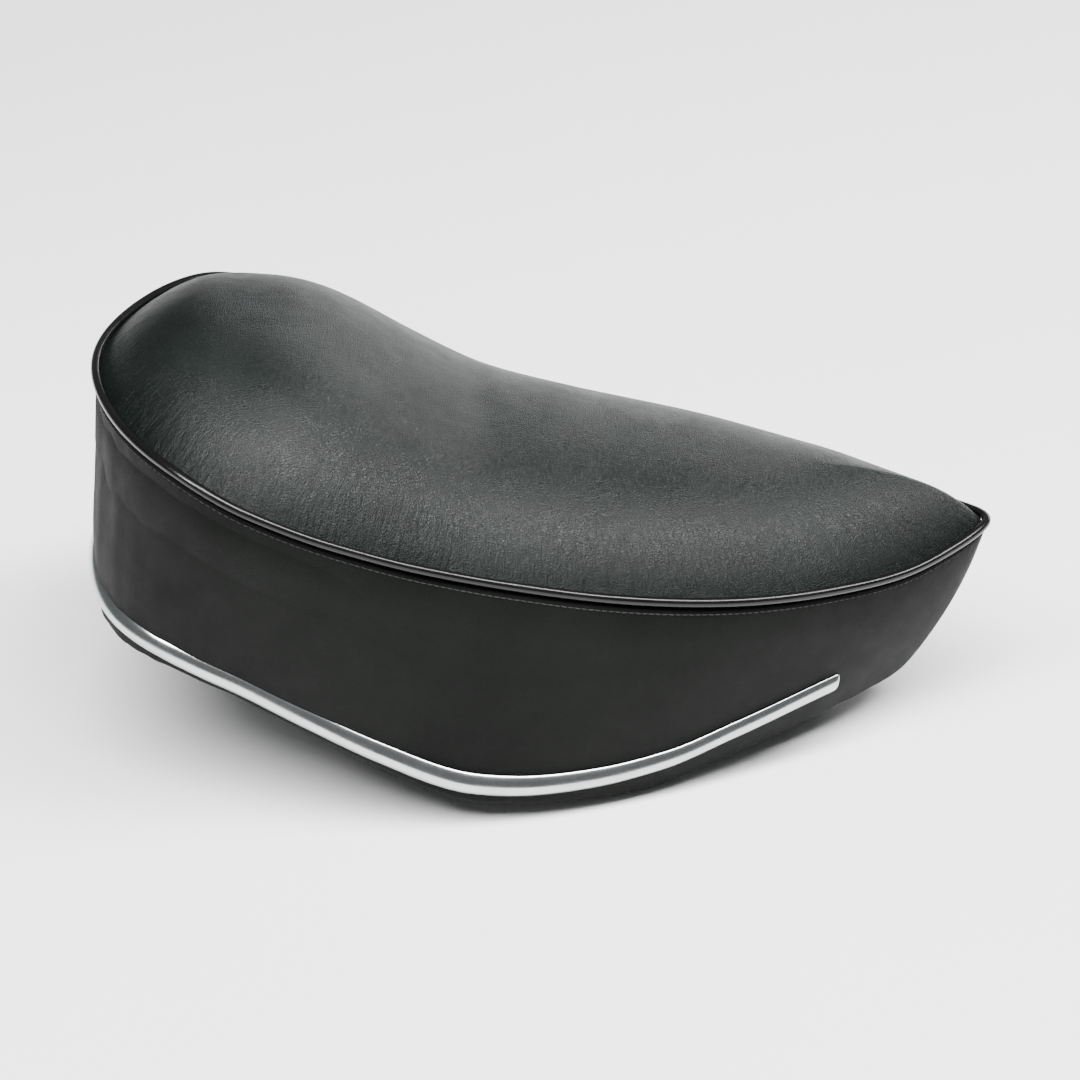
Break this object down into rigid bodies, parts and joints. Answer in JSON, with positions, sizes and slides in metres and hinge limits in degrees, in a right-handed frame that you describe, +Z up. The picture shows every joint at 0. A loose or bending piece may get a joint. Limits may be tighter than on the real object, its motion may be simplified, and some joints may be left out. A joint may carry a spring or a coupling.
{
  "type": "moped saddle",
  "caption": "Single saddle with a domed piped top, deep side skirt, bright moulding round the rear and a nose hinge on a frame bracket.",
  "frame": {"origin": "middle of the saddle's length and width, on the mounting plane under the bracket and the rubber buffers", "axes": "+X towards the nose, +Y towards the side that carries the split pin, +Z up"},
  "size_m": [0.4526, 0.2458, 0.2222],
  "materials": {
    "top_vinyl": "satin embossed vinyl",
    "side_vinyl": "satin vinyl",
    "piping_vinyl": "glossy vinyl welt",
    "foam": "moulded polyurethane foam",
    "pan_steel": "black enamel on pressed steel",
    "trim_bright": "polished",
    "zinc": "zinc plated",
    "nylon": "natural nylon",
    "buffer_rubber": "black rubber",
    "bracket_steel": "black enamel"
  },
  "bodies": {
    "frame": {"frame_bracket": "bracket_steel", "hinge_pin": "zinc", "pin_washer": "zinc", "split_pin": "zinc"},
    "saddle": {"top_cover": "top_vinyl", "side_cover": "side_vinyl", "piping": "piping_vinyl", "foam_core": "foam", "seat_pan": "pan_steel", "trim_strip": "trim_bright", "rear_bridge": "bracket_steel", "buffer_near": "buffer_rubber", "buffer_far": "buffer_rubber", "buffer_screw_near": "zinc", "buffer_screw_far": "zinc", "buffer_nut_near": "zinc", "buffer_nut_far": "zinc", "hinge_leaf": "bracket_steel", "leaf_bolt_1": "zinc", "leaf_bolt_2": "zinc", "leaf_nut_1": "zinc", "leaf_nut_2": "zinc", "hinge_bush_near": "nylon", "hinge_bush_far": "nylon", "trim_stud_1": "zinc", "trim_nut_1": "zinc", "trim_stud_2": "zinc", "trim_nut_2": "zinc", "trim_stud_3": "zinc", "trim_nut_3": "zinc", "trim_stud_4": "zinc", "trim_nut_4": "zinc", "trim_stud_5": "zinc", "trim_nut_5": "zinc", "trim_stud_6": "zinc", "trim_nut_6": "zinc", "trim_stud_7": "zinc", "trim_nut_7": "zinc"}
  },
  "joints": [
    {"name": "seat_hinge", "type": "hinge", "parent": "frame", "child": "saddle", "pos_m": [0.168, 0, 0.017], "axis": [0, 1, 0], "range_deg": [0, 60]}
  ]
}
